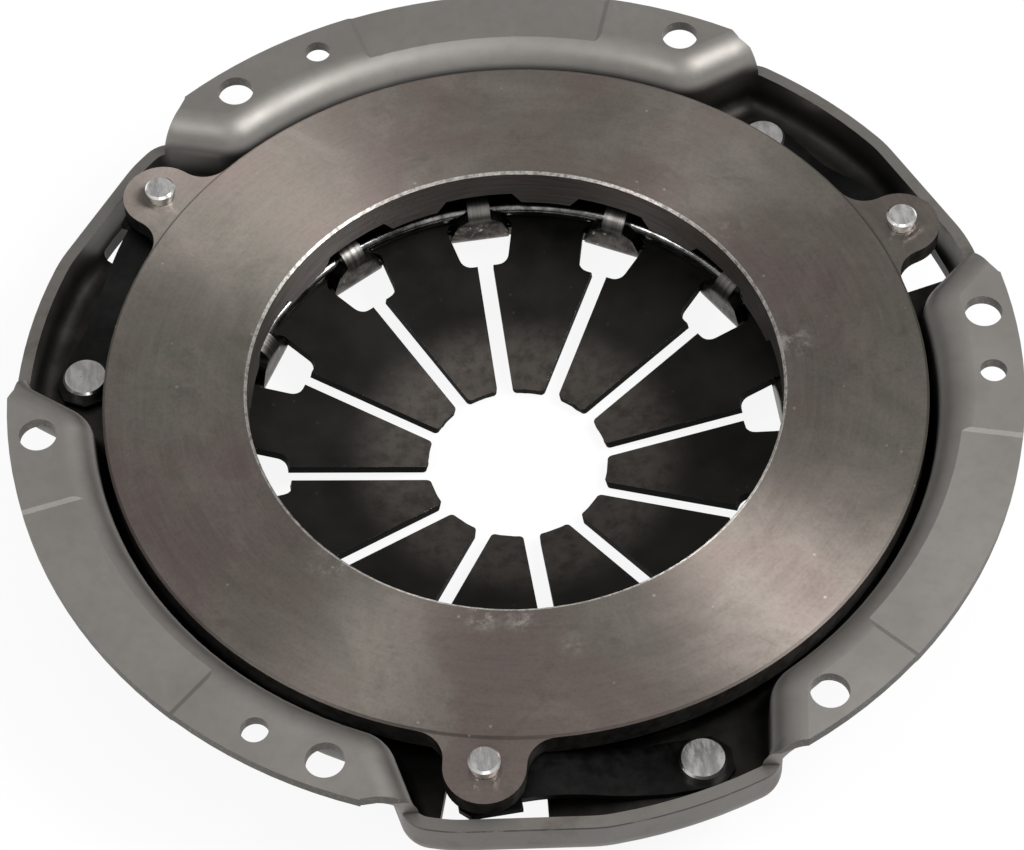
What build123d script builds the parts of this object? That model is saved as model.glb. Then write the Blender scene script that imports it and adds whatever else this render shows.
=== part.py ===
from build123d import *
from math import asin, cos, degrees, radians, sin, sqrt, tan
import os

# Clutch cover assembly with a diaphragm spring, for a 184 mm dry single-plate clutch.
#
# Frame: millimetres. The origin is the centre of the bolt circle on the face that is bolted
# to the flywheel. +Z points at the flywheel, so the friction face looks up and the fingers
# of the spring point down. Everything is drawn as it stands before it is bolted on: the
# pressure plate is at its highest, and it is pushed down by up to `lift_range`.

# ---------------------------------------------------------------- driving dimensions

# flange: the bolt circle sets the size, and every other circle lies in or out from it
sheet = 2.8                     # cover steel
bolt_circle_diameter = 215.0
bolt_count = 6
bolt_hole_diameter = 8.5
flange_margin = 6.7             # from the bolt circle out to the edge
dowel_inset = 0.1               # the dowels stand this far inside the bolt circle
dowel_hole_diameter = 6.1
dowel_angles = (107.9, -8.9, -129.0)
relief_depth = 0.4              # middle of each flange sector, below the bolting face
relief_from = -20.0             # degrees from the middle of the sector
relief_to = 12.4
relief_overlap = 3.6            # onto the rolled edge
relief_slope = 70.0             # of its sides, degrees from upright
roll_radius = 7.8               # flange rolled over into the cup
flange_ends = (                 # sheared line round each gap: out from the bolt circle, degrees
    (-3.0, -18.0),
    (2.6, -18.8),
    (3.7, -20.8),
    (5.0, -23.1),
    (6.4, -24.7),
    (22.5, -25.5),
    (22.5, 0.0),
    (22.5, 25.0),
    (6.7, 24.4),
    (5.4, 23.1),
    (5.0, 21.5),
    (3.0, 19.5),
    (-3.0, 19.0),
)

# cup and strap pockets
gap_angles = (30.0, 150.0, 270.0)
cup_clearance = 2.1             # round the pressure plate
pocket_outset = 3.3             # pocket wall outside the bolt circle
pocket_flat_from = -15.0        # the wall is flat beside the lug, degrees from the gap
pocket_flat_to = 1.0
pocket_flat_blend = 30.0
pocket_depth = 18.6
pocket_corner = 4.0
rim_depth = 8.0                 # sheared top edge of the pocket wall
pocket_from = -19.1             # ends of the pocket's outer wall, degrees from the gap
pocket_to = 20.7
pocket_lean = 5.7               # the walls at both ends lean apart, degrees at the cup wall
lug_side_blend = 10.0
rivet_side_blend = 10.0
wall_blend = 4.6

# pressure plate
lug_reach = 6.8                 # from the plate's edge out to the rivet
bore_inset = 5.35               # from the wire's circle in to the bore
face_depth = 3.4                # friction face below the bolting face
plate_thickness = 10.9
face_chamfer = 0.5
ridge_inset = 11.2              # ridge that bears on the spring, in from the plate's edge
ridge_width = 4.0
ridge_root = 6.0
ridge_crown = 0.6
step_inset = 7.6                # the back is thinner outside this, in from the plate's edge
step_slope = 3.2
vent_count = 12
vent_width = 9.0
vent_floor = 1.6                # left of the ridge under a vent
rivet_inset = 7.5               # rivets of the straps, in from the bolt circle
lug_offset = -12.0              # degrees from the middle of the gap
lug_drop = 0.4                  # lug face below the friction face
lug_thickness = 4.4
lug_pad_height = 1.4            # round pad below each lug, where the straps are seated
lug_pad_diameter = 12.4
lug_half_width = 8.9
lug_blend = 7.0
notch_width = 15.7
notch_flare = 2.2

# diaphragm spring
spring_thickness = 2.36
finger_count = 12
tip_radius = 21.1
tip_corner = 1.1
rim_overhang = 2.5              # outside the ridge
lever_arm = 16.0                # from the wire's circle out to the ridge
fulcrum_depth = 26.1
cone_angle = 12.8
slot_width = 3.8
window_inset = 1.3              # from the wire's circle in to the window
window_length = 11.7
window_outer_width = 16.9
window_inner_width = 10.7
window_inner_round = 2.8
window_outer_round = 2.0

# fulcrum: a bead in the cover below the spring, a wire ring above it
wire_diameter = 4.0
bead_offset = 0.5               # outside the wire's circle
bead_radius = 2.2
bead_height = 0.7
land_inside = 2.0               # land from the wire's circle in to the bore of the cover
land_outside = 3.0
land_slope = 6.5                # length of the slope outside the land
land_bend = 2.4
dome_bend = 4.0

# cover tabs
tab_width = 13.8
tab_waist = 10.5
neck_width = 5.3
tab_bend = 1.5                  # inside radius where the tab stands up
tab_reach = 3.6                 # from the wire's circle out to the tip
tab_tip_corner = 0.8
taper_below = 3.3               # heights of the outline from the wire's centre
waist_above = 0.4
neck_above = 1.7

# drive straps and their rivets
strap_leaves = 3
strap_thickness = 0.5
strap_width = 12.4              # at the anchor rivet
strap_waist = 11.6
strap_neck = 11.4               # where the wide end at the lug begins
strap_wide_end = 16.0
strap_wide_reach = 6.8          # from the lug's rivet back to the neck
strap_taper = 14.0              # from each rivet to the waist
strap_end = 6.6                 # beyond the rivet
strap_flat = 8.5                # held flat on each side
strap_corner = 3.6
strap_wide_corner = 2.2
anchor_offset = 15.2            # degrees from the middle of the gap
rivet_diameter = 6.1
lug_head_diameter = 11.0
lug_head_thickness = 2.6
lug_button_diameter = 7.0
lug_button_thickness = 1.4
lug_button_top = 0.5            # below the bolting face
rivet_chamfer = 0.5
anchor_head_diameter = 10.4
anchor_head_thickness = 2.2
anchor_foot_diameter = 10.0
anchor_foot_thickness = 2.4
lug_opening_from = -17.2        # opening in the pocket floor below the lug, degrees
lug_opening_to = -4.5
lug_opening_outside = 9.3       # out from the rivets
lug_opening_inside = 7.4        # in from the rivets
lug_opening_round = 1.5

# motion and clearances
lift_range = 5.9
seat_gap = 0.12                 # between pieces that press on each other
bearing_gap = 0.3               # between the ridge and the spring
rivet_gap = 0.05
leaf_gap = 0.04
rim_gap = 2.5                   # cover round the rim of the spring
floor_gap = 1.0                 # cover below the rim at full lift
tab_gap = 0.6                   # plate above the tabs at full lift

# ---------------------------------------------------------------- derived dimensions

bolt_radius = bolt_circle_diameter / 2
flange_radius = bolt_radius + flange_margin
dowel_radius = bolt_radius - dowel_inset
rivet_radius = bolt_radius - rivet_inset
pocket_radius = bolt_radius + pocket_outset
plate_radius = rivet_radius - lug_reach
cup_radius = plate_radius + cup_clearance
step_radius = plate_radius - step_inset
ridge_radius = plate_radius - ridge_inset
rim_radius = ridge_radius + rim_overhang
fulcrum_radius = ridge_radius - lever_arm
bore_radius = fulcrum_radius - bore_inset
window_outer_radius = fulcrum_radius - window_inset
window_inner_radius = window_outer_radius - window_length
tab_tip_radius = fulcrum_radius + tab_reach

slope = tan(radians(cone_angle))
half_spring = spring_thickness / 2 / cos(radians(cone_angle))


def spring_middle(radius):
    """Height of the middle of the spring steel at a radius."""
    return -fulcrum_depth + (radius - fulcrum_radius) * slope


wire_radius = wire_diameter / 2
wire_stand = (wire_radius + seat_gap) / cos(radians(cone_angle))
wire_height = spring_middle(fulcrum_radius) + half_spring + wire_stand

bead_centre = fulcrum_radius + bead_offset
bead_reach = sqrt(bead_height * (2 * bead_radius - bead_height))
land_top = spring_middle(bead_centre) - half_spring - seat_gap - bead_height
land_middle = land_top - sheet / 2
cover_bore_radius = fulcrum_radius - land_inside
land_radius = fulcrum_radius + land_outside

lifted_slope = slope - lift_range / (ridge_radius - fulcrum_radius)
lifted_rim = -fulcrum_depth + (rim_radius - fulcrum_radius) * lifted_slope - half_spring
floor_top = lifted_rim - floor_gap
floor_middle = floor_top - sheet / 2
dome_middle_radius = rim_radius + rim_gap + sheet / 2

shoulder_radius = cup_radius - pocket_corner
shoulder_middle = -pocket_depth - sheet / 2
shoulder_bend = (shoulder_radius - dome_middle_radius) * 0.9
sector_angles = [gap + 60 for gap in gap_angles]
relief_radius = cup_radius + roll_radius - relief_overlap

back_height = -face_depth - plate_thickness
ridge_tip = spring_middle(ridge_radius) + half_spring + bearing_gap
wire_inside = fulcrum_radius - wire_radius
tab_sag = wire_inside - sqrt(wire_inside**2 - (tab_waist / 2) ** 2)
tab_outer_bend = wire_radius + seat_gap + tab_sag
stem_middle_radius = fulcrum_radius - tab_outer_bend - sheet / 2
fold_middle = wire_height + tab_outer_bend + sheet / 2
tab_top = fold_middle + sheet / 2
notch_top = tab_top + lift_range + tab_gap
notch_reach = tab_tip_radius + 2 * tab_gap
taper_height = wire_height - taper_below
waist_height = wire_height + waist_above
neck_height = wire_height + neck_above

lug_face = -face_depth - lug_drop
lug_underside = lug_face - lug_thickness
lug_seat = lug_underside - lug_pad_height
strap_pitch = strap_thickness + leaf_gap
pack_thickness = strap_leaves * strap_pitch
strap_low = -pocket_depth + leaf_gap
strap_high = lug_seat - pack_thickness
strap_length = 2 * rivet_radius * sin(radians(anchor_offset - lug_offset) / 2)
rivet_hole_diameter = rivet_diameter + 2 * rivet_gap
lug_root_angle = degrees(asin(lug_half_width / plate_radius))


def polar(radius, angle):
    """Point in the XY plane at a radius and an angle in degrees."""
    return (radius * cos(radians(angle)), radius * sin(radians(angle)))


def upright(x, y, heading=0.0):
    """Vertical sketch plane through (x, y): its x axis points along heading, its y axis up."""
    return Plane(
        origin=(x, y, 0),
        x_dir=(cos(radians(heading)), sin(radians(heading)), 0),
        z_dir=(sin(radians(heading)), -cos(radians(heading)), 0),
    )


def lug_point(gap):
    """Centre of the lug beside a gap."""
    return polar(rivet_radius, gap + lug_offset)


def anchor_point(gap):
    """Centre of the rivet that holds the straps of a gap to the cover."""
    return polar(rivet_radius, gap + anchor_offset)


def save(piece, name):
    """Label a finished piece and write its STEP file."""
    piece.label = name
    export_step(piece, "parts/" + name + ".step")


def ring_sector(inner, outer, start, end):
    """Part of a ring between two angles in degrees."""
    with BuildSketch() as sector:
        with BuildLine():
            CenterArc((0, 0), outer, start, end - start)
            CenterArc((0, 0), inner, start, end - start)
            Line(polar(inner, start), polar(outer, start))
            Line(polar(inner, end), polar(outer, end))
        make_face()
    return sector.sketch


os.makedirs("parts", exist_ok=True)

# ---------------------------------------------------------------- cover

# Plan of the cup: a circle round the pressure plate, with three lobes that hold the straps.
with BuildSketch() as cup_plan:
    Circle(cup_radius)
    for gap in gap_angles:
        lug_corner = polar(cup_radius, gap + pocket_from - pocket_lean)
        rivet_corner = polar(cup_radius, gap + pocket_to + pocket_lean)
        flat_start = polar(pocket_radius, gap + pocket_flat_from)
        flat_end = polar(pocket_radius, gap + pocket_flat_to)
        with BuildLine():
            Polyline((0, 0), lug_corner, polar(pocket_radius, gap + pocket_from))
            CenterArc((0, 0), pocket_radius, gap + pocket_from, pocket_flat_from - pocket_from)
            Line(flat_start, flat_end)
            CenterArc((0, 0), pocket_radius, gap + pocket_flat_to, pocket_to - pocket_flat_to)
            Polyline(polar(pocket_radius, gap + pocket_to), rivet_corner, (0, 0))
        make_face()
    for gap in gap_angles:
        blends = (
            (pocket_radius, pocket_from, wall_blend),
            (pocket_radius, pocket_to, wall_blend),
            (pocket_radius, pocket_flat_from, pocket_flat_blend),
            (pocket_radius, pocket_flat_to, pocket_flat_blend),
            (cup_radius, pocket_from - pocket_lean, lug_side_blend),
            (cup_radius, pocket_to + pocket_lean, rivet_side_blend),
        )
        for radius, angle, blend in blends:
            corner = polar(radius, gap + angle)
            fillet(cup_plan.vertices().sort_by_distance(corner)[0], blend)

# The hollow of the cup, with the mouth rolled outwards at the bolting face.
with BuildPart() as hollow:
    with BuildSketch():
        add(cup_plan.sketch)
    extrude(amount=-pocket_depth)
    fillet(hollow.faces().sort_by(Axis.Z)[0].edges(), pocket_corner)
    with BuildSketch():
        Circle(flange_radius + 3 * roll_radius)
    extrude(amount=roll_radius)
    mouth = hollow.faces().filter_by(Plane.XY).sort_by(Axis.Z)[-2]
    fillet(mouth.inner_wires()[0].edges(), roll_radius)

# The outside of the cup, one sheet thickness away, with the flange round it.
with BuildPart() as shell:
    with BuildSketch():
        add(cup_plan.sketch)
        offset(amount=sheet)
    extrude(amount=-pocket_depth - sheet)
    fillet(shell.faces().sort_by(Axis.Z)[0].edges(), pocket_corner + sheet)
    with BuildSketch():
        Circle(flange_radius + 3 * roll_radius)
    extrude(amount=-sheet)
    under = shell.faces().filter_by(Plane.XY).sort_by(Axis.Z)[-2]
    fillet(under.inner_wires()[0].edges(), roll_radius - sheet)
    add(hollow.part, mode=Mode.SUBTRACT)

# The dome that carries the spring, traced from the pocket floor in to the bore of the cover.
with BuildPart() as dome:
    with BuildSketch(upright(0, 0)):
        with BuildLine():
            FilletPolyline(
                (shoulder_radius, shoulder_middle),
                (dome_middle_radius, shoulder_middle),
                (dome_middle_radius, floor_middle),
                (land_radius + land_slope, floor_middle),
                (land_radius, land_middle),
                (cover_bore_radius, land_middle),
                radius=[shoulder_bend, dome_bend, land_bend, land_bend],
            )
        trace(line_width=sheet)
    revolve(axis=Axis.Z)

# The bead that the spring rocks on. The same shape, one sheet lower, is the groove behind it.
with BuildPart() as bead:
    with BuildSketch(upright(0, 0)):
        with BuildLine():
            ThreePointArc(
                (bead_centre - bead_reach, land_top),
                (bead_centre, land_top + bead_height),
                (bead_centre + bead_reach, land_top),
            )
            Line((bead_centre + bead_reach, land_top), (bead_centre - bead_reach, land_top))
        make_face()
    revolve(axis=Axis.Z)

# One tab: it stands up through a window of the spring and is folded out over the wire ring.
with BuildPart() as tab:
    with BuildSketch(upright(0, 0)):
        with BuildLine():
            FilletPolyline(
                (bead_centre, land_middle),
                (stem_middle_radius, land_middle),
                (stem_middle_radius, fold_middle),
                (tab_tip_radius, fold_middle),
                radius=[tab_bend + sheet / 2, tab_outer_bend + sheet / 2],
            )
        trace(line_width=sheet)
    extrude(amount=tab_width / 2, both=True)
    with BuildSketch(Plane.YZ):
        with BuildLine():
            Polyline(
                (0, land_middle - sheet),
                (tab_width / 2, land_middle - sheet),
                (tab_width / 2, taper_height),
                (tab_waist / 2, waist_height),
                (neck_width / 2, neck_height),
                (neck_width / 2, tab_top + sheet),
                (0, tab_top + sheet),
                (0, land_middle - sheet),
            )
        make_face()
        mirror(about=Plane.YZ)
    extrude(amount=tab_tip_radius + sheet, mode=Mode.INTERSECT)
    fillet(tab.faces().sort_by(Axis.X)[-1].edges().filter_by(Axis.Z), tab_tip_corner)

with BuildPart() as cover:
    add(shell.part)
    # the middle of each flange sector is pressed a little below the bolting face
    for level, mode in ((0, Mode.SUBTRACT), (-sheet, Mode.ADD)):
        with BuildSketch(Plane.XY.offset(level)):
            for middle in sector_angles:
                start, end = middle + relief_from, middle + relief_to
                add(ring_sector(relief_radius, flange_radius + roll_radius, start, end))
        extrude(amount=-relief_depth, taper=relief_slope, mode=mode)
    # the flange ends at its round edge, and each pocket wall at its sheared rim
    with BuildSketch(Plane.XY.offset(-rim_depth)):
        Circle(flange_radius + 4 * roll_radius)
        Circle(flange_radius, mode=Mode.SUBTRACT)
        for gap in gap_angles:
            with BuildLine():
                Polyline([polar(bolt_radius + out, gap + angle) for out, angle in flange_ends], close=True)
            make_face()
    extrude(amount=rim_depth + roll_radius, mode=Mode.SUBTRACT)
    # the floor opens into the dome, which ends in the twelve tabs
    with BuildSketch(Plane.XY.offset(-pocket_depth - sheet)):
        Circle(shoulder_radius)
    extrude(amount=2 * sheet, mode=Mode.SUBTRACT)
    add(dome.part)
    with PolarLocations(0, finger_count):
        add(tab.part)
    add(bead.part)
    with Locations((0, 0, -sheet)):
        add(bead.part, mode=Mode.SUBTRACT)
    # openings in the pocket floors, where the rivet heads of the lugs go down
    with BuildSketch(Plane.XY.offset(-pocket_depth - sheet)):
        for gap in gap_angles:
            start, end = gap + lug_opening_from, gap + lug_opening_to
            inner, outer = rivet_radius - lug_opening_inside, rivet_radius + lug_opening_outside
            add(ring_sector(inner, outer, start, end))
        fillet(vertices(), lug_opening_round)
    extrude(amount=2 * sheet, mode=Mode.SUBTRACT)
    # holes for bolts, dowels and the rivets of the straps
    with PolarLocations(bolt_radius, bolt_count):
        Hole(bolt_hole_diameter / 2, depth=2 * sheet)
    with Locations([polar(dowel_radius, angle) for angle in dowel_angles]):
        Hole(dowel_hole_diameter / 2, depth=2 * sheet)
    with Locations([(*anchor_point(gap), -pocket_depth) for gap in gap_angles]):
        Hole(rivet_hole_diameter / 2, depth=2 * sheet)

save(cover.part, "cover")

# ---------------------------------------------------------------- pressure plate

# A notch in the bore of the plate, which leaves room for one tab of the cover.
with BuildPart() as notch:
    with BuildSketch(Plane.YZ.offset(bore_radius / 2)):
        with BuildLine():
            Polyline(
                (notch_width / 2, notch_top),
                (notch_width / 2 + notch_flare, back_height),
                (-notch_width / 2 - notch_flare, back_height),
                (-notch_width / 2, notch_top),
                close=True,
            )
        make_face()
    extrude(amount=notch_reach - bore_radius / 2)

with BuildPart() as pressure_plate:
    with BuildSketch(upright(0, 0)):
        with BuildLine():
            Polyline(
                (bore_radius, back_height),
                (bore_radius, -face_depth - face_chamfer),
                (bore_radius + face_chamfer, -face_depth),
                (plate_radius - face_chamfer, -face_depth),
                (plate_radius, -face_depth - face_chamfer),
                (plate_radius, lug_seat),
                (step_radius + step_slope, lug_seat),
                (step_radius, back_height),
                (ridge_radius + ridge_root / 2, back_height),
                (ridge_radius + ridge_width / 2, ridge_tip + ridge_crown),
            )
            ThreePointArc(
                (ridge_radius + ridge_width / 2, ridge_tip + ridge_crown),
                (ridge_radius, ridge_tip),
                (ridge_radius - ridge_width / 2, ridge_tip + ridge_crown),
            )
            Polyline(
                (ridge_radius - ridge_width / 2, ridge_tip + ridge_crown),
                (ridge_radius - ridge_root / 2, back_height),
                (bore_radius, back_height),
            )
        make_face()
    revolve(axis=Axis.Z)
    # vents across the ridge
    with BuildSketch(Plane.XY.offset(ridge_tip)):
        with PolarLocations(ridge_radius, vent_count, start_angle=180 / vent_count):
            Rectangle(2 * ridge_root, vent_width)
    extrude(amount=back_height - ridge_tip - vent_floor, mode=Mode.SUBTRACT)
    with PolarLocations(0, finger_count):
        add(notch.part, mode=Mode.SUBTRACT)
    # three lugs for the straps, each blended into the rim
    with BuildSketch(Plane.XY.offset(lug_underside)) as lug_plan:
        Circle(plate_radius)
        with Locations([lug_point(gap) for gap in gap_angles]):
            Circle(lug_half_width)
        with PolarLocations(rivet_radius - lug_half_width, 3, start_angle=gap_angles[0] + lug_offset):
            Rectangle(2 * lug_half_width, 2 * lug_half_width)
        for gap in gap_angles:
            for side in (-1, 1):
                root = polar(plate_radius, gap + lug_offset + side * lug_root_angle)
                corner = lug_plan.vertices().sort_by_distance((*root, lug_underside))[0]
                fillet(corner, lug_blend)
        Circle(ridge_radius + ridge_root, mode=Mode.SUBTRACT)
    extrude(amount=lug_thickness)
    with BuildSketch(Plane.XY.offset(lug_seat)):
        with Locations([lug_point(gap) for gap in gap_angles]):
            Circle(lug_pad_diameter / 2)
    extrude(amount=lug_pad_height)
    with Locations([(*lug_point(gap), lug_face) for gap in gap_angles]):
        Hole(rivet_hole_diameter / 2, depth=lug_thickness + lug_pad_height)

save(pressure_plate.part, "pressure_plate")

# ---------------------------------------------------------------- diaphragm spring

# One window and the slot that runs in from it to the middle.
with BuildPart() as slot:
    with BuildSketch(Plane.XY.offset(spring_middle(0) - spring_thickness)) as slot_plan:
        with BuildLine():
            Polyline(
                (window_inner_radius, -window_inner_width / 2),
                (window_outer_radius, -window_outer_width / 2),
                (window_outer_radius, window_outer_width / 2),
                (window_inner_radius, window_inner_width / 2),
                close=True,
            )
        make_face()
        inner_corners = slot_plan.vertices().group_by(Axis.X)[0]
        fillet(inner_corners, window_inner_round)
        outer_corners = slot_plan.vertices().group_by(Axis.X)[-1]
        fillet(outer_corners, window_outer_round)
        with Locations((window_inner_radius / 2, 0)):
            Rectangle(window_inner_radius + window_inner_round, slot_width)
    extrude(amount=-spring_middle(0))

with BuildPart() as diaphragm_spring:
    with BuildSketch(upright(0, 0)):
        with BuildLine():
            Line(
                (tip_radius, spring_middle(tip_radius)),
                (rim_radius, spring_middle(rim_radius)),
            )
        trace(line_width=spring_thickness)
    revolve(axis=Axis.Z)
    with PolarLocations(0, finger_count):
        add(slot.part, mode=Mode.SUBTRACT)
    tips = diaphragm_spring.faces().sort_by(Axis.Z)[:finger_count]
    across = [edge for tip in tips for edge in tip.edges() if edge.length < 1.1 * spring_thickness]
    fillet(across, tip_corner)

save(diaphragm_spring.part, "diaphragm_spring")

# ---------------------------------------------------------------- wire ring

with BuildPart() as fulcrum_ring:
    with BuildSketch(upright(0, 0)):
        with Locations((fulcrum_radius, wire_height)):
            Circle(wire_radius)
    revolve(axis=Axis.Z)

save(fulcrum_ring.part, "fulcrum_ring")

# ---------------------------------------------------------------- drive straps

# Plan of a leaf, along X from its anchor rivet: a waist, and a wider end below the lug.
with BuildSketch() as strap_plan:
    with BuildLine():
        Polyline(
            (-strap_end, 0),
            (-strap_end, strap_width / 2 - strap_corner),
            (-strap_end + strap_corner, strap_width / 2),
            (strap_flat, strap_width / 2),
            (strap_taper, strap_waist / 2),
            (strap_length - strap_taper, strap_waist / 2),
            (strap_length - strap_wide_reach, strap_neck / 2),
            (strap_length - strap_wide_reach, strap_wide_end / 2),
            (strap_length + strap_end - strap_wide_corner, strap_wide_end / 2),
            (strap_length + strap_end, strap_wide_end / 2 - strap_wide_corner),
            (strap_length + strap_end, 0),
            (-strap_end, 0),
        )
    make_face()
    mirror(about=Plane.XZ)

# Each pack runs from its anchor rivet, low on the pocket floor, up to the pad below a lug.
for number, gap in enumerate(gap_angles, start=1):
    anchor = anchor_point(gap)
    heading = gap + (anchor_offset + lug_offset) / 2 - 90
    for leaf, layer in enumerate(("lower", "middle", "upper")):
        low = strap_low + leaf * strap_pitch
        high = strap_high + leaf * strap_pitch
        with BuildPart() as strap:
            with BuildSketch(upright(*anchor, heading)):
                with BuildLine() as underside:
                    Line((-strap_end, low), (strap_flat, low))
                    Spline(
                        (strap_flat, low),
                        (strap_length - strap_flat, high),
                        tangents=((1, 0), (1, 0)),
                    )
                    Line((strap_length - strap_flat, high), (strap_length + strap_end, high))
                    add(underside.line.moved(Location((0, strap_thickness))))
                    Line((-strap_end, low), (-strap_end, low + strap_thickness))
                    Line(
                        (strap_length + strap_end, high),
                        (strap_length + strap_end, high + strap_thickness),
                    )
                make_face()
            extrude(amount=strap_wide_end / 2, both=True)
            with BuildSketch(Plane.XY.offset(low)):
                with Locations(Location((*anchor, 0), (0, 0, heading))):
                    add(strap_plan.sketch)
            extrude(amount=high - low + strap_thickness, mode=Mode.INTERSECT)
            with Locations((*anchor, 0), (*lug_point(gap), 0)):
                Hole(rivet_hole_diameter / 2)
        save(strap.part, f"strap_{number}_{layer}")

# ---------------------------------------------------------------- rivets

for number, gap in enumerate(gap_angles, start=1):
    head_top = strap_high - leaf_gap
    with BuildPart() as lug_rivet:
        with BuildSketch(upright(*lug_point(gap))):
            with BuildLine():
                Polyline(
                    (0, head_top - lug_head_thickness),
                    (lug_head_diameter / 2 - rivet_chamfer, head_top - lug_head_thickness),
                    (lug_head_diameter / 2, head_top - lug_head_thickness + rivet_chamfer),
                    (lug_head_diameter / 2, head_top),
                    (rivet_diameter / 2, head_top),
                    (rivet_diameter / 2, -lug_button_top - lug_button_thickness),
                    (lug_button_diameter / 2, -lug_button_top - lug_button_thickness),
                    (lug_button_diameter / 2, -lug_button_top - rivet_chamfer),
                    (lug_button_diameter / 2 - rivet_chamfer, -lug_button_top),
                    (0, -lug_button_top),
                    close=True,
                )
            make_face()
        revolve(axis=Axis(lug_point(gap), (0, 0, 1)))
    save(lug_rivet.part, f"lug_rivet_{number}")

for number, gap in enumerate(gap_angles, start=1):
    head_seat = strap_low + pack_thickness
    foot_top = -pocket_depth - sheet
    with BuildPart() as anchor_rivet:
        with BuildSketch(upright(*anchor_point(gap))):
            with BuildLine():
                Polyline(
                    (0, foot_top - anchor_foot_thickness),
                    (anchor_foot_diameter / 2 - rivet_chamfer, foot_top - anchor_foot_thickness),
                    (anchor_foot_diameter / 2, foot_top - anchor_foot_thickness + rivet_chamfer),
                    (anchor_foot_diameter / 2, foot_top),
                    (rivet_diameter / 2, foot_top),
                    (rivet_diameter / 2, head_seat),
                    (anchor_head_diameter / 2, head_seat),
                    (anchor_head_diameter / 2, head_seat + anchor_head_thickness - rivet_chamfer),
                    (anchor_head_diameter / 2 - rivet_chamfer, head_seat + anchor_head_thickness),
                    (0, head_seat + anchor_head_thickness),
                    close=True,
                )
            make_face()
        revolve(axis=Axis((*anchor_point(gap), 0), (0, 0, 1)))
    save(anchor_rivet.part, f"anchor_rivet_{number}")
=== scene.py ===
"""Looks of a clutch cover assembly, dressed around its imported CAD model."""

from functools import cached_property
from math import atan2, cos, pi, radians, sin, sqrt, tan

import bpy
from mathutils import Matrix, Vector
from mathutils.geometry import delaunay_2d_cdt


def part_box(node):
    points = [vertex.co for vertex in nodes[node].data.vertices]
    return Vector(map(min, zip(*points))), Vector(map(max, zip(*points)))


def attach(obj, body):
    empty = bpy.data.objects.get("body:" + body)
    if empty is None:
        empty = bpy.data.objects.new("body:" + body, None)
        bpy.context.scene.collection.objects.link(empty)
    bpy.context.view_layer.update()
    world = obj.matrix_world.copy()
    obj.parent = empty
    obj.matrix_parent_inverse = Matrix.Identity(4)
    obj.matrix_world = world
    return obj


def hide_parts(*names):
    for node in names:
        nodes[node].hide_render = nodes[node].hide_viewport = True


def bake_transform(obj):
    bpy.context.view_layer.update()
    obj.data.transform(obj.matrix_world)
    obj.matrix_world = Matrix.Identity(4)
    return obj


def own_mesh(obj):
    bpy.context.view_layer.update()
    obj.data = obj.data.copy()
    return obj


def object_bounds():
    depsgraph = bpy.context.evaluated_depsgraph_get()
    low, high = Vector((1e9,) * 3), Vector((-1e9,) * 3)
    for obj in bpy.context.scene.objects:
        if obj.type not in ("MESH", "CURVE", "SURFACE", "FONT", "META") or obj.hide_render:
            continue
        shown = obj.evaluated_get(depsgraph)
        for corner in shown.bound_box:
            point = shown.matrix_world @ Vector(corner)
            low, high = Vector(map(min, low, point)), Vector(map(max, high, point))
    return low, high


MM = 0.001

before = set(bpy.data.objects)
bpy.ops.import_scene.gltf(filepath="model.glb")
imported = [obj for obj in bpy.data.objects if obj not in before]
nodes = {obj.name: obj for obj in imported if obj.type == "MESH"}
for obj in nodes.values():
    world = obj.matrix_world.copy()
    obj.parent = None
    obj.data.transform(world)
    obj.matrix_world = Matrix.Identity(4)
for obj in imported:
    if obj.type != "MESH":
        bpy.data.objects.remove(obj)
cad_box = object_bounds()

# ---------------------------------------------------------------- sizes, in millimetres

# drive straps, and the rivets at their ends
GAPS = (30.0, 150.0, 270.0)          # middles of the strap pockets, degrees

# diaphragm spring
FINGERS = 12
TIP_RADIUS = 21.1
RIM_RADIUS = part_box("diaphragm_spring")[1].x / MM
FULCRUM_RADIUS = 66.0
FULCRUM_HEIGHT = -26.1
CONE_ANGLE = 12.8
SPRING_THICKNESS = 2.36
SLOT_WIDTH = 3.8
WINDOW_OUTER = 64.7
WINDOW_INNER = 53.0
WINDOW_OUTER_WIDTH = 16.9
WINDOW_INNER_WIDTH = 10.7
WINDOW_OUTER_ROUND = 2.0
WINDOW_INNER_ROUND = 2.8
TIP_ROUND = 1.1
SPRING_BEVEL = 0.25
RIM_POINTS = 240                     # of the spring's mesh: round its rim,
SPRING_RINGS = 20                    # rings of points between the tips and the rim,
SPRING_PITCH = 3.2                   # the space between two points of a ring,
SLOT_MARGIN = 1.2                    # and what stays free of them beside a slot

# pressure plate
BORE_RADIUS = 60.65
PLATE_RADIUS = 93.2
FACE_HEIGHT = -3.4
FACE_CHAMFER = 0.5
STAINS = (                           # on the friction face: x, y, reach and strength
    (-15.7, -61.0, 5.5, 1.0),
    (-8.0, -62.5, 5.0, 0.8),
    (2.0, -71.0, 4.5, 0.4),
    (-47.0, -42.0, 6.0, 0.9),
    (63.5, 1.0, 7.0, 0.8),
    (56.0, 34.5, 6.0, 0.4),
)

# cover
FLANGE_UNDERSIDE = -3.1
RIM_HEIGHT = -8.0                    # sheared top edge of the strap pockets
CUP_SHADE_DEPTH = -18.0                     # the painted shade inside the cup is darkest from here down
TAB_RADIUS = 72.0                    # the tabs lie inside this
TAB_FOOT = -31.0
TAB_SHOULDER = -21.6                 # where their narrow stems begin

# ---------------------------------------------------------------- colours, in linear light

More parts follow.
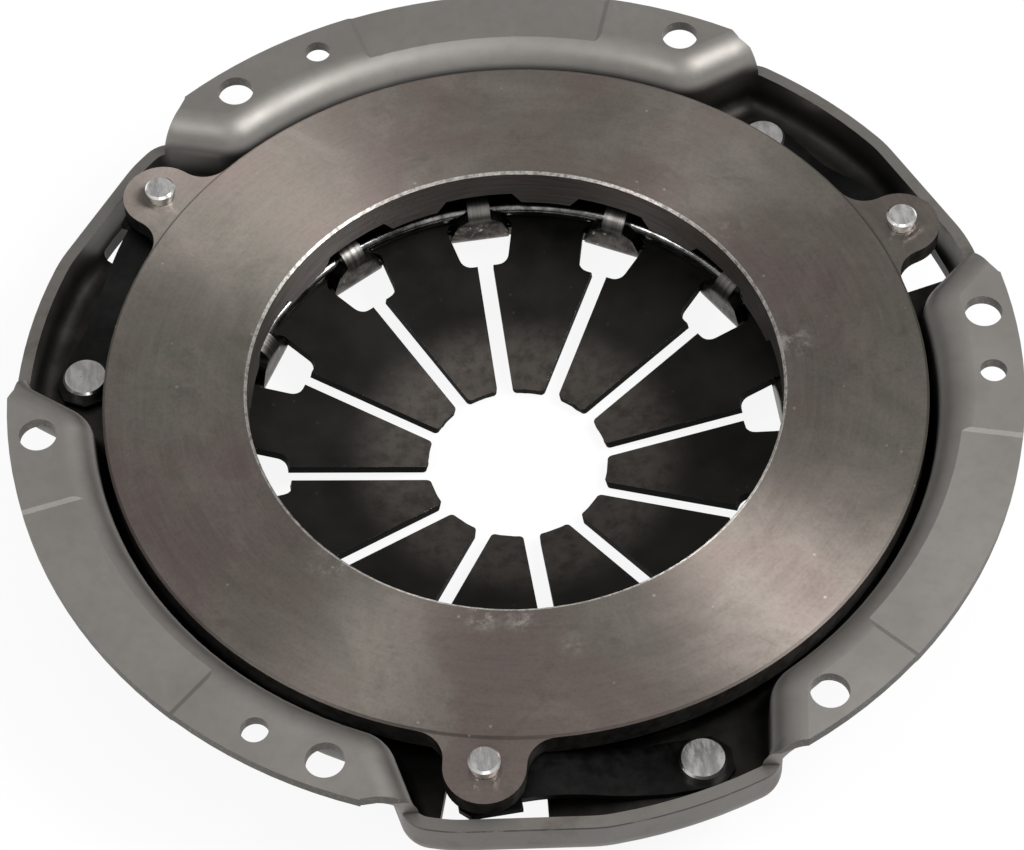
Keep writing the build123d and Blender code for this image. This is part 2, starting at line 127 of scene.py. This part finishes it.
IRON_ROSE = (0.196, 0.155, 0.144, 1)
IRON_OLIVE = (0.182, 0.171, 0.146, 1)
IRON_CLOUD = (0.262, 0.232, 0.208, 1)
IRON_BLOT = (0.118, 0.100, 0.089, 1)
IRON_MARK = (0.255, 0.225, 0.202, 1)
IRON_GRAIN = (0.105, 0.090, 0.079, 1)
IRON_SPECK = (0.44, 0.41, 0.38, 1)
IRON_STAIN = (0.56, 0.53, 0.49, 1)
CHAMFER_BRIGHT = (0.70, 0.67, 0.63, 1)
CHAMFER_DARK = (0.062, 0.054, 0.048, 1)
CHAMFER_CHIP = (0.50, 0.48, 0.45, 1)
TURNED_DARK = (0.058, 0.051, 0.047, 1)
TURNED_LIGHT = (0.082, 0.075, 0.070, 1)
TURNED_BROWN = (0.088, 0.062, 0.053, 1)
CAST_DARK = (0.008, 0.0075, 0.007, 1)
CAST_LIGHT = (0.017, 0.016, 0.015, 1)

COVER_DARK = (0.222, 0.210, 0.195, 1)
COVER_LIGHT = (0.261, 0.249, 0.233, 1)
COVER_MOTTLE = (0.180, 0.170, 0.158, 1)
COVER_SCUFF = (0.40, 0.39, 0.38, 1)
COVER_DULL = (0.120, 0.114, 0.105, 1)
COVER_RUST = (0.100, 0.078, 0.063, 1)
SHEAR_LINE = (0.030, 0.028, 0.026, 1)
SHEARED_DARK = (0.078, 0.072, 0.064, 1)
SHEARED_LIGHT = (0.20, 0.19, 0.175, 1)
# painted shade for the inside of the cup
CUP_SHADE_DARK = (0.020, 0.019, 0.018, 1)
CUP_SHADE_LIGHT = (0.036, 0.034, 0.031, 1)
STEM_DARK = (0.085, 0.081, 0.075, 1)
STEM_LIGHT = (0.185, 0.177, 0.166, 1)
FOOT_DARK = (0.030, 0.026, 0.023, 1)
FOOT_LIGHT = (0.092, 0.083, 0.074, 1)
# painted glints on the tab feet
FOOT_PAINTED_GLINT = (0.40, 0.38, 0.36, 1)

SPRING_DARK = (0.0125, 0.012, 0.0112, 1)
SPRING_LIGHT = (0.021, 0.020, 0.0185, 1)
SPRING_SPECK = (0.050, 0.047, 0.043, 1)
SPRING_WORN = (0.080, 0.070, 0.062, 1)
# painted shade on the punched walls
SPRING_WALL_SHADE = (0.004, 0.004, 0.004, 1)
# painted highlight on the punched edges
SPRING_EDGE_HIGHLIGHT = (0.42, 0.41, 0.39, 1)

# ---------------------------------------------------------------- floor, light and camera

FLOOR_SIDE = 3.0                     # metres, from the middle to an edge
FLOOR_GAP = 0.0005                   # metres, below the part
FLOOR_COLOUR = (0.8, 0.8, 0.8, 1)
FLOOR_GLOW = 0.9                     # share of plain white that the camera sees
WORLD_LEVELS = ((0.0, 0.26), (0.82, 0.77))   # height in the sky, and its light there
LAMPS = (                            # azimuth and elevation, distance, size and power
    ("key", -12.0, 50.0, 1.3, 0.66, 16.0),
    ("second", -155.0, 50.0, 1.3, 0.35, 4.2),
    ("front", -88.0, 36.0, 1.5, 1.0, 2.4),
)
CAMERA_PLACE = (-0.0556, -0.4816, 0.6607)
CAMERA_AIM = (-0.0019, -0.0072, -0.0100)
CAMERA_ROLL = -2.24
CAMERA_LENS = 128.1

# ---------------------------------------------------------------- helpers


def place_piece(name, mesh, material):
    """A new object of the model with its material."""
    piece = bpy.data.objects.new(name, mesh)
    bpy.context.scene.collection.objects.link(piece)
    mesh.materials.clear()
    mesh.materials.append(material)
    return piece


def dress(node, material):
    """Gives a node of the CAD model its material."""
    piece = nodes[node]
    if not piece.material_slots:
        piece.data.materials.append(material)
    for place in piece.material_slots:
        place.material = material


def grey(level, warm=0.02):
    """A grey in linear light, a little warm."""
    return (level * (1 + warm), level, level * (1 - warm), 1.0)


class Nodes:
    """A node tree, built one node at a time."""

    def __init__(self, owner):
        owner.use_nodes = True
        self.tree = owner.node_tree
        self.tree.nodes.clear()

    def add(self, kind, settings=None, **inputs):
        """A node with its settings, and its inputs set or linked by name, or by number as i0."""
        node = self.tree.nodes.new(kind)
        for key, value in (settings or {}).items():
            setattr(node, key, value)
        for key, value in inputs.items():
            numbered = key[0] == "i" and key[1:].isdigit()
            self.feed(node.inputs[int(key[1:]) if numbered else key], value)
        return node

    def feed(self, socket, value):
        """Links a socket to another, or sets its value."""
        if isinstance(value, bpy.types.NodeSocket):
            self.tree.links.new(value, socket)
        else:
            socket.default_value = value


class Surface(Nodes):
    """A material, with what its patterns are made of."""

    def __init__(self, name):
        self.material = bpy.data.materials.new(name)
        super().__init__(self.material)

    @cached_property
    def place(self):
        """The place on the object, in metres."""
        return self.add("ShaderNodeTexCoord").outputs["Object"]

    @cached_property
    def normal(self):
        """The direction that the surface looks in."""
        return self.add("ShaderNodeNewGeometry").outputs["Normal"]

    @cached_property
    def upward(self):
        """How far the surface looks up, -1 to 1."""
        return self.parts(self.normal)[2]

    @cached_property
    def flatness(self):
        """0 on a wall, 1 where the surface looks straight up or down."""
        return self.math("ABSOLUTE", self.upward)

    @cached_property
    def radius(self):
        """Distance from the axis, in metres."""
        x, y, _ = self.parts(self.place)
        return self.math("SQRT", self.math("ADD", self.times(x, x), self.times(y, y)))

    @cached_property
    def outward(self):
        """How far the surface looks away from the axis, -1 to 1."""
        x, y, _ = self.parts(self.place)
        nx, ny, _ = self.parts(self.normal)
        along = self.math("ADD", self.times(x, nx), self.times(y, ny))
        return self.math("DIVIDE", along, self.radius)

    def parts(self, vector):
        """The three parts of a vector."""
        return self.add("ShaderNodeSeparateXYZ", Vector=vector).outputs

    def math(self, operation, first, second=0.0):
        """Result of one arithmetic operation."""
        node = self.add("ShaderNodeMath", {"operation": operation}, i0=first, i1=second)
        return node.outputs[0]

    def times(self, *factors):
        """Product of numbers."""
        product = factors[0]
        for factor in factors[1:]:
            product = self.math("MULTIPLY", product, factor)
        return product

    def ramp(self, value, low, high, to_low=0.0, to_high=1.0):
        """Takes value from the range low to high into another, smoothly, held at its ends."""
        node = self.add("ShaderNodeMapRange", {"interpolation_type": "SMOOTHSTEP", "clamp": True})
        names = ("Value", "From Min", "From Max", "To Min", "To Max")
        for name, number in zip(names, (value, low, high, to_low, to_high)):
            self.feed(node.inputs[name], number)
        return node.outputs["Result"]

    def heights(self, low, high, to_low=0.0, to_high=1.0):
        """A ramp over the height, from low to high in millimetres."""
        height = self.parts(self.place)[2]
        return self.ramp(height, low * MM, high * MM, to_low, to_high)

    def radii(self, low, high):
        """A ramp over the distance from the axis, from low to high in millimetres."""
        return self.ramp(self.radius, low * MM, high * MM)

    def mix(self, share, first, second):
        """Colour between two colours."""
        node = self.add("ShaderNodeMix", {"data_type": "RGBA"}, i0=share, i6=first, i7=second)
        return node.outputs[2]

    def blend(self, share, first, second):
        """Number between two numbers."""
        node = self.add("ShaderNodeMix", {"data_type": "FLOAT"}, i0=share, i2=first, i3=second)
        return node.outputs[0]

    def noise(self, scale, detail, rough, vector=None, distortion=0.0):
        """Cloud noise, about 0 to 1. Scale is in waves per metre."""
        node = self.add(
            "ShaderNodeTexNoise",
            Vector=self.place if vector is None else vector,
            Scale=scale,
            Detail=detail,
            Roughness=rough,
            Distortion=distortion,
        )
        return node.outputs["Fac"]

    def stretched(self, x, y, z):
        """The place, scaled differently along each axis."""
        return self.add("ShaderNodeMapping", Vector=self.place, Scale=(x, y, z)).outputs[0]

    def circled(self, along, across):
        """The place for marks that run in circles: waves per radian, and per metre across."""
        x, y, height = self.parts(self.place)
        node = self.add(
            "ShaderNodeCombineXYZ",
            X=self.times(self.math("DIVIDE", x, self.radius), along),
            Y=self.times(self.math("DIVIDE", y, self.radius), along),
            Z=self.times(self.math("SUBTRACT", self.radius, height), across),
        )
        return node.outputs[0]

    def near(self, x, y, reach):
        """1 at a place on the friction face, falling to 0 at a reach, all in millimetres."""
        there = (x * MM, y * MM, FACE_HEIGHT * MM)
        gap = self.add("ShaderNodeVectorMath", {"operation": "DISTANCE"}, i0=self.place, i1=there)
        return self.ramp(gap.outputs["Value"], reach * MM, 0.0)

    def specks(self, scale, size, share):
        """Small round specks: per metre, their size in cells, and the share of cells with one."""
        cells = self.add("ShaderNodeTexVoronoi", {"feature": "F1"}, Vector=self.place, Scale=scale)
        chosen = self.math("LESS_THAN", self.parts(cells.outputs["Color"])[0], share)
        return self.times(chosen, self.ramp(cells.outputs["Distance"], size, size * 0.5))

    def bump(self, height, distance, strength):
        """Normal with a relief on it. Distance is in metres."""
        node = self.add("ShaderNodeBump", Height=height, Strength=strength, Distance=distance)
        return node.outputs["Normal"]

    def finish(self, colour, roughness, metallic=1.0, **more):
        """Ends the material in the usual shader."""
        shader = self.add("ShaderNodeBsdfPrincipled", Roughness=roughness, Metallic=metallic)
        self.feed(shader.inputs["Base Color"], colour)
        for key, value in more.items():
            self.feed(shader.inputs[key.replace("_", " ")], value)
        return self.end(shader)

    def end(self, shader):
        """Ends the material in a shader."""
        self.add("ShaderNodeOutputMaterial", Surface=shader.outputs[0])
        return self.material


# ---------------------------------------------------------------- materials


def ground_colour(s, marks):
    """Colour of the friction face, in the circles that it was ground in."""
    # tints of the iron, in clouds
    base = s.mix(s.ramp(s.noise(15, 4, 0.6), 0.38, 0.62), IRON_ROSE, IRON_OLIVE)
    clouds = s.noise(33, 6, 0.68, distortion=0.5)
    base = s.mix(s.ramp(clouds, 0.44, 0.68, 0.0, 0.75), base, IRON_CLOUD)
    blots = s.noise(80, 6, 0.75, distortion=0.6)
    base = s.mix(s.ramp(blots, 0.52, 0.72, 0.0, 0.45), base, IRON_BLOT)
    # grinding marks, the grain of the iron and pale specks
    base = s.mix(s.ramp(marks, 0.36, 0.66, 0.0, 0.20), base, IRON_MARK)
    base = s.mix(s.ramp(s.noise(1300, 3, 0.7), 0.42, 0.68, 0.0, 0.22), base, IRON_GRAIN)
    base = s.mix(s.times(s.specks(330, 0.16, 0.08), 0.5), base, IRON_SPECK)
    # pale stains near the bore, where oil has dried
    stains = 0.0
    for x, y, reach, strength in STAINS:
        stains = s.math("MAXIMUM", stains, s.times(s.near(x, y, reach), strength))
    patches = s.ramp(s.noise(240, 6, 0.75, distortion=0.2), 0.45, 0.68)
    base = s.mix(s.times(stains, patches), base, IRON_STAIN)
    # the inner chamfer is turned bright, the outer one is dark and chipped
    inner = BORE_RADIUS + FACE_CHAMFER
    outer = PLATE_RADIUS - FACE_CHAMFER
    inner_edge = s.radii(inner + 0.25, inner)
    worn = s.ramp(s.noise(900, 4, 0.75), 0.34, 0.60, 0.2, 1.0)
    base = s.mix(s.times(inner_edge, worn), base, CHAMFER_BRIGHT)
    outer_edge = s.times(s.radii(outer - 0.2, outer), s.radii(PLATE_RADIUS + 0.15, PLATE_RADIUS))
    base = s.mix(s.times(outer_edge, 0.5), base, CHAMFER_DARK)
    chips = s.ramp(s.noise(420, 5, 0.75), 0.63, 0.72)
    return s.mix(s.times(outer_edge, chips, 0.7), base, CHAMFER_CHIP)


def ground_iron():
    """Cast iron: ground on the friction face, turned in its bore, rough at its back."""
    s = Surface("ground_iron")
    ground = s.times(s.ramp(s.upward, 0.35, 0.6), s.heights(FACE_HEIGHT - 2.2, FACE_HEIGHT - 1.6))
    fine = s.noise(1.0, 2, 0.6, s.circled(7.0, 4200))
    broad = s.noise(1.0, 3, 0.6, s.circled(3.0, 520))
    marks = s.math("ADD", s.times(fine, 0.55), s.times(broad, 0.45))
    turned = s.ramp(s.noise(1.0, 3, 0.6, s.circled(6.0, 1500)), 0.3, 0.7)
    turned = s.mix(turned, TURNED_DARK, TURNED_LIGHT)
    turned = s.mix(s.ramp(s.noise(45, 4, 0.6), 0.50, 0.68, 0.0, 0.7), turned, TURNED_BROWN)
    cast = s.mix(s.ramp(s.noise(420, 4, 0.6), 0.3, 0.7), CAST_DARK, CAST_LIGHT)
    rest = s.mix(s.radii(BORE_RADIUS + 0.9, BORE_RADIUS + 0.6), cast, turned)
    relief = s.blend(ground, s.noise(700, 4, 0.6), s.times(marks, 0.04))
    # the shine lies across the circles, in two fans
    tangent = s.add("ShaderNodeTangent", {"direction_type": "RADIAL", "axis": "Z"})
    return s.finish(
        s.mix(ground, rest, ground_colour(s, marks)),
        s.blend(ground, 0.62, s.ramp(marks, 0.3, 0.7, 0.54, 0.46)),
        Normal=s.bump(relief, 0.0002, 0.5),
        Anisotropic=0.93,
        Anisotropic_Rotation=0.25,
        Tangent=tangent.outputs[0],
    )


def pressed_steel():
    """Cover steel: satin outside, with painted shade inside its cup, brushed tabs with painted
    glints, and sheared edges.
    """
    s = Surface("pressed_steel")
    base = s.mix(s.ramp(s.noise(20, 5, 0.6), 0.3, 0.7), COVER_DARK, COVER_LIGHT)
    base = s.mix(s.ramp(s.noise(300, 4, 0.65), 0.42, 0.72, 0.0, 0.24), base, COVER_MOTTLE)
    scuffs = s.ramp(s.noise(90, 6, 0.75, s.stretched(1.0, 0.35, 1.0)), 0.60, 0.74)
    base = s.mix(s.times(scuffs, 0.18), base, COVER_SCUFF)
    # what lies below the flange is duller, with some rust
    low = s.heights(RIM_HEIGHT + 1.4, RIM_HEIGHT + 0.2)
    base = s.mix(s.times(low, 0.55), base, COVER_DULL)
    rusty = s.ramp(s.noise(55, 5, 0.7), 0.50, 0.68, 0.0, 0.55)
    base = s.mix(s.times(low, rusty), base, COVER_RUST)
    # a shear line runs along the rims of the pockets
    line = s.times(
        s.heights(RIM_HEIGHT, RIM_HEIGHT - 0.2),
        s.heights(RIM_HEIGHT - 0.9, RIM_HEIGHT - 0.6),
        s.ramp(s.outward, 0.5, 0.7),
        s.ramp(s.noise(160, 4, 0.7), 0.30, 0.50),
    )
    base = s.mix(s.times(line, 0.8), base, SHEAR_LINE)
    # sheared edges of the flange
    flange = s.heights(FLANGE_UNDERSIDE - 0.5, FLANGE_UNDERSIDE)
    sheared = s.times(s.ramp(s.flatness, 0.4, 0.2), flange)
    torn = s.mix(s.ramp(s.noise(1500, 4, 0.7), 0.50, 0.72), SHEARED_DARK, SHEARED_LIGHT)
    base = s.mix(s.times(sheared, 0.85), base, torn)
    # painted shade inside the cup, darker the deeper it is
    inside = s.times(s.ramp(s.outward, 0.45, 0.15), s.ramp(s.upward, -0.5, -0.2))
    tabs = s.times(s.radii(TAB_RADIUS + 1, TAB_RADIUS), s.heights(TAB_FOOT, TAB_FOOT + 2))
    black = s.times(
        inside,
        s.heights(RIM_HEIGHT, RIM_HEIGHT - 0.4),
        s.heights(RIM_HEIGHT, CUP_SHADE_DEPTH, 0.15, 1.0),
        s.math("SUBTRACT", 1.0, tabs),
    )
    cup_shade = s.mix(s.ramp(s.noise(140, 4, 0.6), 0.3, 0.72), CUP_SHADE_DARK, CUP_SHADE_LIGHT)
    base = s.mix(black, base, cup_shade)
    # tabs: brushed stems on worn feet, with painted glints on the feet
    brushed = s.ramp(s.noise(1.0, 3, 0.6, s.circled(90.0, 60)), 0.32, 0.70)
    stem = s.mix(brushed, STEM_DARK, STEM_LIGHT)
    foot = s.mix(s.ramp(s.noise(330, 5, 0.75), 0.40, 0.62), FOOT_DARK, FOOT_LIGHT)
    # painted highlights: bright specks that stand for glints on the tab feet
    painted_glints = s.ramp(s.noise(260, 4, 0.8, distortion=1.5), 0.60, 0.68)
    foot = s.mix(painted_glints, foot, FOOT_PAINTED_GLINT)
    shoulder = s.heights(TAB_SHOULDER - 0.8, TAB_SHOULDER + 0.4)
    base = s.mix(tabs, base, s.mix(shoulder, foot, stem))
    # the roll shines less on the side of the gap, where the die never touched it
    facing = s.times(s.ramp(s.upward, 0.75, 0.35), s.ramp(s.upward, -0.5, -0.2))
    dull = s.times(
        facing,
        s.ramp(s.outward, 0.45, 0.15),
        s.heights(RIM_HEIGHT + 0.8, RIM_HEIGHT + 3.8),
    )
    return s.finish(
        base,
        s.blend(tabs, s.ramp(s.noise(60, 4, 0.6), 0.3, 0.7, 0.45, 0.53), 0.32),
        s.math("SUBTRACT", 1.0, s.times(dull, 0.72)),
        Normal=s.bump(s.noise(1400, 2, 0.5), 0.00003, 0.35),
    )


def spring_steel():
    """Hardened spring steel: almost black, brown and worn at the tips, with painted highlights on
    its edges.
    """
    s = Surface("spring_steel")
    base = s.mix(s.ramp(s.noise(60, 3, 0.5), 0.3, 0.7), SPRING_DARK, SPRING_LIGHT)
    base = s.mix(s.times(s.specks(420, 0.2, 0.12), 0.4), base, SPRING_SPECK)
    patchy = s.ramp(s.noise(300, 5, 0.7), 0.30, 0.62, 0.45, 1.0)
    base = s.mix(s.times(s.radii(42.0, 29.0), patchy, 0.85), base, SPRING_WORN)
    # painted shade makes the punched walls black, and painted highlights brighten their edges
    wall = s.ramp(s.flatness, 0.45, 0.30)
    base = s.mix(wall, base, SPRING_WALL_SHADE)
    # painted highlight along the edges of the walls, broken by noise
    edge = s.times(s.ramp(s.flatness, 0.95, 0.90), s.ramp(s.flatness, 0.40, 0.55))
    highlight_breaks = s.ramp(s.noise(900, 3, 0.7), 0.40, 0.56)
    base = s.mix(s.times(edge, highlight_breaks), base, SPRING_EDGE_HIGHLIGHT)
    rough = s.ramp(s.noise(200, 4, 0.6), 0.3, 0.7, 0.40, 0.54)
    relief = s.noise(900, 3, 0.6)
    return s.finish(base, s.blend(wall, rough, 0.75), Normal=s.bump(relief, 0.00004, 0.4))


def rivet_steel(name, level, rough):
    """A rivet: its head is flat and scuffed, and its rounded edge is polished."""
    s = Surface(name)
    flat = s.ramp(s.flatness, 0.93, 0.98)
    scuffs = s.ramp(s.noise(500, 5, 0.7, s.stretched(1.0, 0.3, 1.0)), 0.36, 0.64)
    head = s.mix(scuffs, grey(level * 0.74), grey(level * 1.22))
    head = s.mix(s.times(s.specks(900, 0.25, 0.15), 0.4), head, grey(level * 0.3))
    head_rough = s.ramp(scuffs, 0.0, 1.0, rough * 0.85, rough * 1.2)
    return s.finish(
        s.mix(flat, grey(0.88, 0.01), head),
        s.blend(flat, 0.18, head_rough),
        Normal=s.bump(scuffs, 0.00003, 0.3),
    )


def plain_steel(name, level, rough, spread=0.2):
    """A turned or drawn steel piece, its colour within a spread of a level."""
    s = Surface(name)
    clouds = s.ramp(s.noise(240, 5, 0.75), 0.3, 0.7)
    base = s.mix(clouds, grey(level * (1 - spread)), grey(level * (1 + spread)))
    roughness = s.ramp(s.noise(400, 3, 0.6), 0.3, 0.7, rough * 0.85, rough * 1.2)
    return s.finish(base, roughness, Normal=s.bump(s.noise(1500, 3, 0.6), 0.00003, 0.3))


dark_spring = spring_steel()
strap_steel = plain_steel("strap_steel", 0.012, 0.40)
bright_rivet = rivet_steel("bright_rivet", 0.44, 0.30)
flat_rivet = rivet_steel("flat_rivet", 0.36, 0.40)

dress("pressure_plate", ground_iron())
dress("cover", pressed_steel())
dress("fulcrum_ring", plain_steel("wire_steel", 0.16, 0.18, spread=0.75))
for number in (1, 2, 3):
    dress(f"lug_rivet_{number}", bright_rivet)
    dress(f"anchor_rivet_{number}", flat_rivet)

# ---------------------------------------------------------------- drive straps

# Each leaf keeps the shape of its solid.
for number, gap in enumerate(GAPS, start=1):
    for layer in ("lower", "middle", "upper"):
        node = f"strap_{number}_{layer}"
        strap = place_piece("bent_" + node, nodes[node].data.copy(), strap_steel)
        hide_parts(node)
        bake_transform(strap)

# ---------------------------------------------------------------- diaphragm spring


def rounded(points, rounds, steps=5):
    """An outline with its corners rounded: points are (x, y), and each has its own radius."""
    path = []
    count = len(points)
    for number, (corner, radius) in enumerate(zip(points, rounds)):
        here = Vector(corner)
        if radius == 0:
            path.append(here)
            continue
        before = (Vector(points[number - 1]) - here).normalized()
        after = (Vector(points[(number + 1) % count]) - here).normalized()
        half = before.angle(after) / 2
        reach = radius / tan(half)
        centre = here + (before + after).normalized() * radius / sin(half)
        start = here + before * reach - centre
        sweep = start.angle_signed(here + after * reach - centre)
        for step in range(steps + 1):
            path.append(centre + Matrix.Rotation(-sweep * step / steps, 2) @ start)
    return path


def slot_outline():
    """One slot with its window, along +X, from the tips out and back."""
    slot = SLOT_WIDTH / 2
    tip = sqrt(TIP_RADIUS**2 - (slot + TIP_ROUND) ** 2)
    half = [                         # x, half width and rounding
        (tip, slot + TIP_ROUND, 0),
        (tip, slot, TIP_ROUND * 0.99),
        (WINDOW_INNER, slot, 0),
        (WINDOW_INNER, WINDOW_INNER_WIDTH / 2, WINDOW_INNER_ROUND),
        (WINDOW_OUTER, WINDOW_OUTER_WIDTH / 2, WINDOW_OUTER_ROUND),
    ]
    points = [(x, -y) for x, y, _ in half] + [(x, y) for x, y, _ in reversed(half)]
    rounds = [radius for _, _, radius in half]
    return rounded(points, rounds + rounds[::-1])


def in_slot(point, margin=0.0):
    """Whether a point, in millimetres, lies in a slot or window, or within a margin of one."""
    pitch = 2 * pi / FINGERS
    turn = atan2(point.y, point.x)
    turn -= round(turn / pitch) * pitch
    x, y = point.length * cos(turn), abs(point.length * sin(turn))
    if y < SLOT_WIDTH / 2 + margin and x < WINDOW_OUTER:
        return True
    share = (x - WINDOW_INNER) / (WINDOW_OUTER - WINDOW_INNER)
    half = (WINDOW_INNER_WIDTH + (WINDOW_OUTER_WIDTH - WINDOW_INNER_WIDTH) * share) / 2
    reach = margin / (WINDOW_OUTER - WINDOW_INNER)
    return -reach < share < 1 + reach and y < half + margin


def circle(radius, turn):
    """Point of a circle in the plan of the spring, in millimetres, at a turn in radians."""
    return Vector((cos(turn), sin(turn))) * radius


def inner_loop():
    """Plan of the tips and slots, all the way round."""
    outline = slot_outline()
    loop = []
    for finger in range(FINGERS):
        turn = Matrix.Rotation(2 * pi * finger / FINGERS, 2)
        loop += [turn @ point for point in outline]
        start = atan2(loop[-1].y, loop[-1].x)
        end = 2 * pi * (finger + 1) / FINGERS + atan2(outline[0].y, outline[0].x)
        end += 2 * pi if end < start else 0
        loop += [circle(TIP_RADIUS, start + (end - start) * step / 6) for step in range(1, 6)]
    return loop


def filling():
    """Points between the tips and the rim, in rings, away from the slots."""
    points = []
    for ring in range(1, SPRING_RINGS):
        radius = TIP_RADIUS + (RIM_RADIUS - TIP_RADIUS) * ring / SPRING_RINGS
        count = max(48, int(2 * pi * radius / SPRING_PITCH / 12) * 12)
        points += [circle(radius, 2 * pi * (k + 0.5) / count) for k in range(count)]
    return [point for point in points if not in_slot(point, SLOT_MARGIN)]


def loop_edges(first, count):
    """Edges of a closed loop of points."""
    return [(first + k, first + (k + 1) % count) for k in range(count)]


def spring_mesh():
    """Middle surface of the diaphragm spring, as one mesh on its cone."""
    inner = inner_loop()
    rim = [circle(RIM_RADIUS, 2 * pi * k / RIM_POINTS) for k in range(RIM_POINTS)]
    edges = loop_edges(0, len(inner)) + loop_edges(len(inner), RIM_POINTS)
    flat, _, faces, *_ = delaunay_2d_cdt(inner + rim + filling(), edges, [], 0, 0.001)
    kept = []
    for face in faces:
        centre = sum((flat[k] for k in face), Vector((0, 0))) / len(face)
        if centre.length >= TIP_RADIUS and not in_slot(centre):
            kept.append(face)
    used = sorted({k for face in kept for k in face})
    order = {old: new for new, old in enumerate(used)}
    slope = tan(radians(CONE_ANGLE))
    heights = [FULCRUM_HEIGHT + (flat[k].length - FULCRUM_RADIUS) * slope for k in used]
    places = [(flat[k].x * MM, flat[k].y * MM, z * MM) for k, z in zip(used, heights)]
    mesh = bpy.data.meshes.new("diaphragm_spring_shape")
    mesh.from_pydata(places, [], [[order[k] for k in face] for face in kept])
    mesh.update()
    return mesh


spring = place_piece("slotted_spring", spring_mesh(), dark_spring)
thick = spring.modifiers.new("thickness", "SOLIDIFY")
thick.thickness = SPRING_THICKNESS * MM
thick.offset = 0.0
edges = spring.modifiers.new("edges", "BEVEL")
edges.width = SPRING_BEVEL * MM
edges.segments = 2
edges.limit_method = "ANGLE"
edges.angle_limit = radians(50)
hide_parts("diaphragm_spring")
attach(spring, "cover")
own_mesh(spring)

# ---------------------------------------------------------------- studio


def white_floor():
    """Pale floor that shows white to the camera and keeps a soft shadow."""
    side, low = FLOOR_SIDE, cad_box[0].z - FLOOR_GAP
    corners = [(-side, -side, low), (side, -side, low), (side, side, low), (-side, side, low)]
    mesh = bpy.data.meshes.new("floor")
    mesh.from_pydata(corners, [], [(0, 1, 2, 3)])
    floor = bpy.data.objects.new("floor", mesh)
    bpy.context.scene.collection.objects.link(floor)
    s = Surface("floor_white")
    rays = s.add("ShaderNodeLightPath").outputs
    seen = s.math("MAXIMUM", rays["Is Camera Ray"], rays["Is Glossy Ray"])
    matt = s.add("ShaderNodeBsdfDiffuse", Color=FLOOR_COLOUR)
    light = s.add("ShaderNodeEmission", Color=(1, 1, 1, 1), Strength=1.0)
    both = s.add(
        "ShaderNodeMixShader",
        i0=s.times(seen, FLOOR_GLOW),
        i1=matt.outputs[0],
        i2=light.outputs[0],
    )
    mesh.materials.append(s.end(both))


def studio_world():
    """A soft room: bright above, darker towards the horizon."""
    world = bpy.data.worlds.new("studio")
    bpy.context.scene.world = world
    n = Nodes(world)
    place = n.add("ShaderNodeTexCoord").outputs["Generated"]
    height = n.add("ShaderNodeSeparateXYZ", Vector=place).outputs["Z"]
    sky = n.add("ShaderNodeValToRGB", Fac=height)
    for stop, (position, level) in zip(sky.color_ramp.elements, WORLD_LEVELS):
        stop.position = position
        stop.color = (level, level, level, 1)
    background = n.add("ShaderNodeBackground", Color=sky.outputs["Color"])
    n.add("ShaderNodeOutputWorld", Surface=background.outputs[0])


def soft_box(name, azimuth, elevation, distance, size, power):
    """A square lamp that looks at the object, from a direction in degrees."""
    turn, lift = radians(azimuth), radians(elevation)
    place = Vector((cos(lift) * cos(turn), cos(lift) * sin(turn), sin(lift))) * distance
    lamp = bpy.data.lights.new(name, "AREA")
    lamp.shape = "SQUARE"
    lamp.size = size
    lamp.energy = power
    box = bpy.data.objects.new(name, lamp)
    bpy.context.scene.collection.objects.link(box)
    box.location = place
    box.rotation_euler = (-place).to_track_quat("-Z", "Y").to_euler()


def photo_camera():
    """Camera at the photograph's angle."""
    camera = bpy.data.cameras.new("camera")
    camera.sensor_width = 36.0
    camera.sensor_fit = "HORIZONTAL"
    camera.lens = CAMERA_LENS
    camera.clip_start = 0.05
    viewer = bpy.data.objects.new("camera", camera)
    bpy.context.scene.collection.objects.link(viewer)
    look = (Vector(CAMERA_AIM) - Vector(CAMERA_PLACE)).to_track_quat("-Z", "Y")
    roll = Matrix.Rotation(radians(CAMERA_ROLL), 4, "Z")
    viewer.matrix_world = Matrix.Translation(CAMERA_PLACE) @ look.to_matrix().to_4x4() @ roll
    bpy.context.scene.camera = viewer


white_floor()
studio_world()
for lamp in LAMPS:
    soft_box(*lamp)
photo_camera()
bpy.context.scene.view_settings.view_transform = "Standard"
